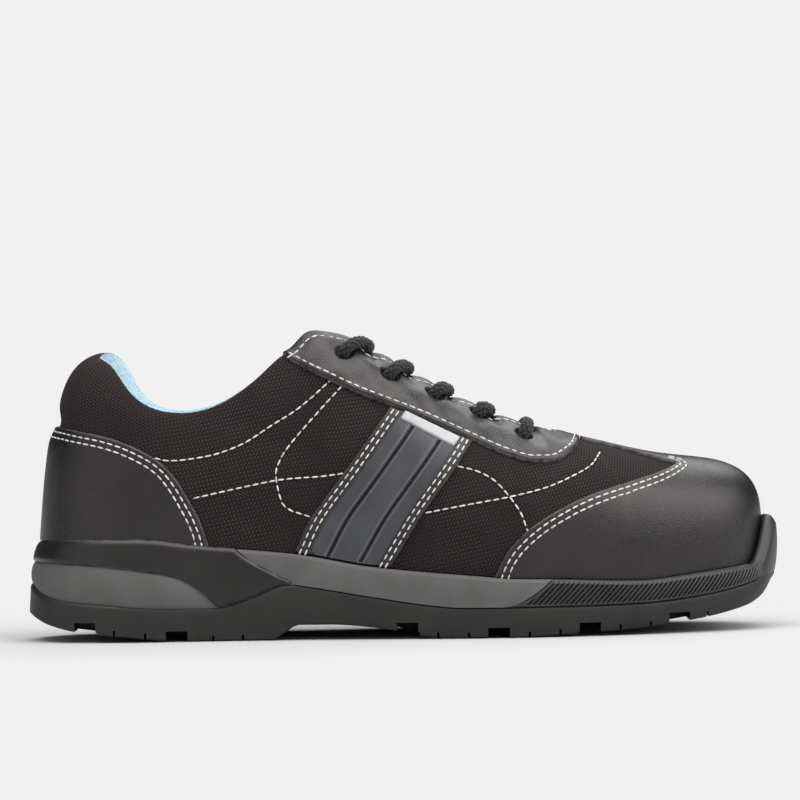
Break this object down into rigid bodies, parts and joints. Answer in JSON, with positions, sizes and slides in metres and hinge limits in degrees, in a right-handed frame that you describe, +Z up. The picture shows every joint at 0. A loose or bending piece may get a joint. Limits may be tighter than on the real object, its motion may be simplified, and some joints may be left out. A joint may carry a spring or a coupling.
{
  "type": "low safety shoe",
  "caption": "Low lace-up safety shoe for the right foot: hollow textile upper with leather toe cap, counter and eyestay on a layered, lugged sole with a heel cradle.",
  "frame": {"origin": "on the floor, under the middle of the shoe's bounding box", "axes": "+X to the toe, +Y to the inner side of the foot, +Z up"},
  "size_m": [0.3026, 0.1047, 0.1234],
  "materials": {
    "outsole": "moulded black polyurethane, slightly glossy",
    "midsole": "moulded grey foam, matt",
    "stabiliser": "moulded black, satin",
    "insole": "light blue mesh over foam",
    "textile": "brown-black coarse weave, light blue mesh inside",
    "leather": "black smooth leather with a fine grain",
    "band": "blue-grey ribbed panel between black leather edges",
    "tag": "plain white reflective tape",
    "lace": "black braided round cord"
  },
  "bodies": {
    "root": {"outsole": "outsole", "midsole": "midsole", "heel_stabiliser": "stabiliser", "insole": "insole", "upper": "textile", "heel_counter": "leather", "toe_cap": "leather", "eyestay": "leather", "side_band_outer": "band", "side_band_inner": "band", "side_tag": "tag", "tongue": "textile", "lace_bar_1": "lace", "lace_bar_2": "lace", "lace_bar_3": "lace", "lace_bar_4": "lace", "lace_bar_5": "lace"}
  },
  "joints": []
}
